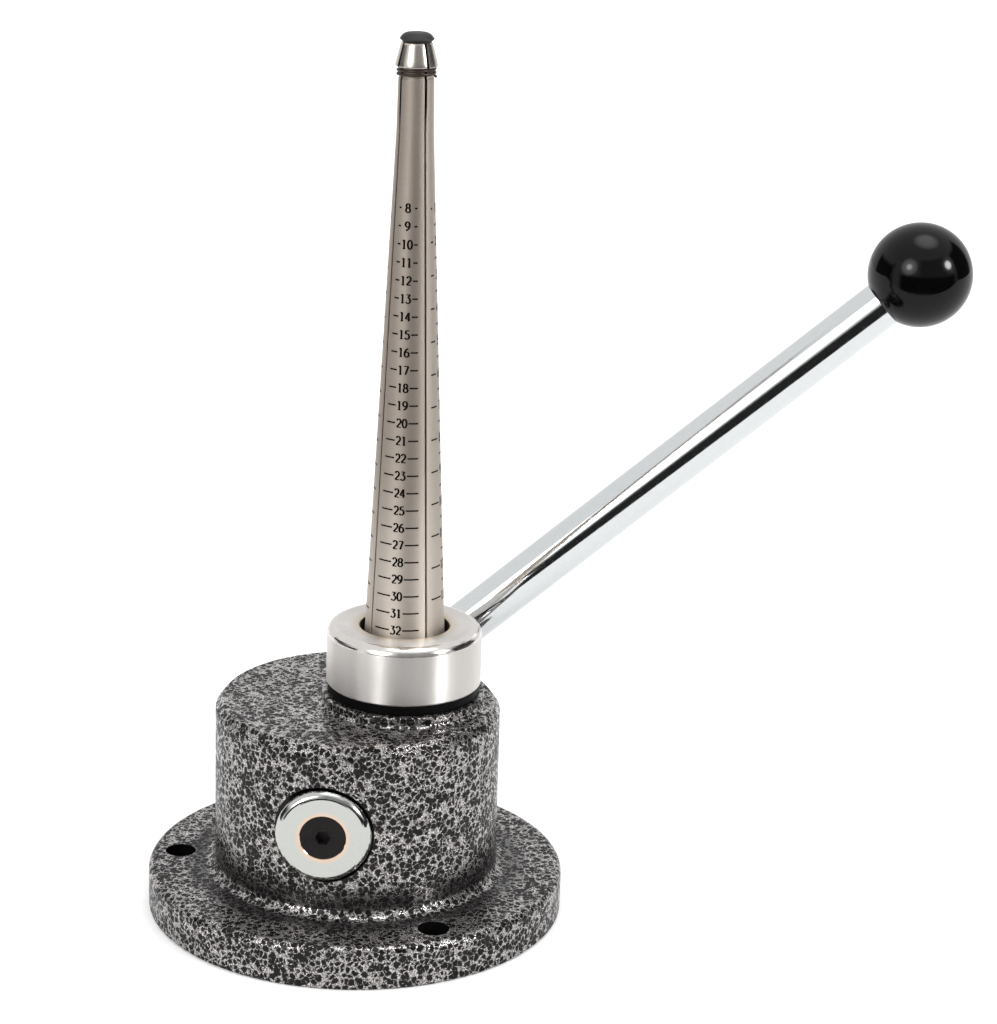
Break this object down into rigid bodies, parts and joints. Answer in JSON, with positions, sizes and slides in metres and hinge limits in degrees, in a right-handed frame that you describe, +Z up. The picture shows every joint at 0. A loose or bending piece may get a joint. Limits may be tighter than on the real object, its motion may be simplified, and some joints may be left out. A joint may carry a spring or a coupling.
{
  "type": "ring stretcher",
  "caption": "Bench ring stretcher: lever, pinion and rack lift a tapered core that spreads a split, graduated mandrel on a round bolt-down base.",
  "frame": {"origin": "centre of the round flange's underside, on the bench", "axes": "+Z up along the drum's axis, the mandrel's axis is 13.4 mm towards +X, the pinion shaft runs along Y with its end washer facing -Y and the lever behind at +Y"},
  "size_m": [0.2427, 0.1388, 0.2637],
  "materials": {
    "hammer_paint": "hammertone paint, dark cells in a silver-grey net, glossy",
    "black_steel": "black oxide, satin",
    "collar_steel": "turned and polished",
    "bronze": "machined",
    "mandrel_steel": "ground and hardened, satin warm grey",
    "iron_wire": "annealed, dark",
    "machined_steel": "machined",
    "cap_steel": "black oxide, matt",
    "washer_chrome": "polished face and rounded edge",
    "screw_steel": "black oxide",
    "hub_steel": "black oxide, satin",
    "rod_chrome": "bright plated, drawn along its length",
    "ball_plastic": "moulded, glossy black",
    "insert_brass": "machined"
  },
  "bodies": {
    "base": {"base_casting": "hammer_paint", "bore_plug": "black_steel", "mandrel_seat": "black_steel", "retaining_collar": "collar_steel", "front_bush": "bronze", "rear_bush": "bronze", "binding_wire": "iron_wire", "foot_spring_ring": "iron_wire"},
    "lever": {"pinion_shaft": "machined_steel", "end_washer": "washer_chrome", "end_screw": "screw_steel", "lever_hub": "hub_steel", "hub_pin": "machined_steel", "lever_rod": "rod_chrome", "ball_knob": "ball_plastic", "knob_insert": "insert_brass"},
    "core": {"tapered_core": "machined_steel", "core_cap": "cap_steel", "rack_bar": "machined_steel", "core_pin": "machined_steel"},
    "segment_front": {"segment_front": "mandrel_steel"},
    "segment_right": {"segment_right": "mandrel_steel"},
    "segment_back": {"segment_back": "mandrel_steel"},
    "segment_left": {"segment_left": "mandrel_steel"}
  },
  "joints": [
    {"name": "lever_swing", "type": "hinge", "parent": "base", "child": "lever", "pos_m": [-0.0058, 0, 0.0387], "axis": [0, -1, 0], "range_deg": [0, 100], "deforming": ["binding_wire", "foot_spring_ring"]},
    {"name": "core_lift", "type": "slide", "parent": "base", "child": "core", "axis": [0, 0, 1], "range_m": [0, 0.0184]},
    {"name": "segment_front_spread", "type": "slide", "parent": "base", "child": "segment_front", "axis": [-0.1392, -0.9903, 0], "range_m": [0, 0.00065]},
    {"name": "segment_right_spread", "type": "slide", "parent": "base", "child": "segment_right", "axis": [0.9903, -0.1392, 0], "range_m": [0, 0.00065]},
    {"name": "segment_back_spread", "type": "slide", "parent": "base", "child": "segment_back", "axis": [0.1392, 0.9903, 0], "range_m": [0, 0.00065]},
    {"name": "segment_left_spread", "type": "slide", "parent": "base", "child": "segment_left", "axis": [-0.9903, 0.1392, 0], "range_m": [0, 0.00065]}
  ],
  "couplings": [
    {"joint": "core_lift", "follows": "lever_swing", "m_per_rad": 0.0105},
    {"joint": "segment_front_spread", "follows": "lever_swing", "m_per_rad": 0.0003675},
    {"joint": "segment_right_spread", "follows": "lever_swing", "m_per_rad": 0.0003675},
    {"joint": "segment_back_spread", "follows": "lever_swing", "m_per_rad": 0.0003675},
    {"joint": "segment_left_spread", "follows": "lever_swing", "m_per_rad": 0.0003675}
  ]
}
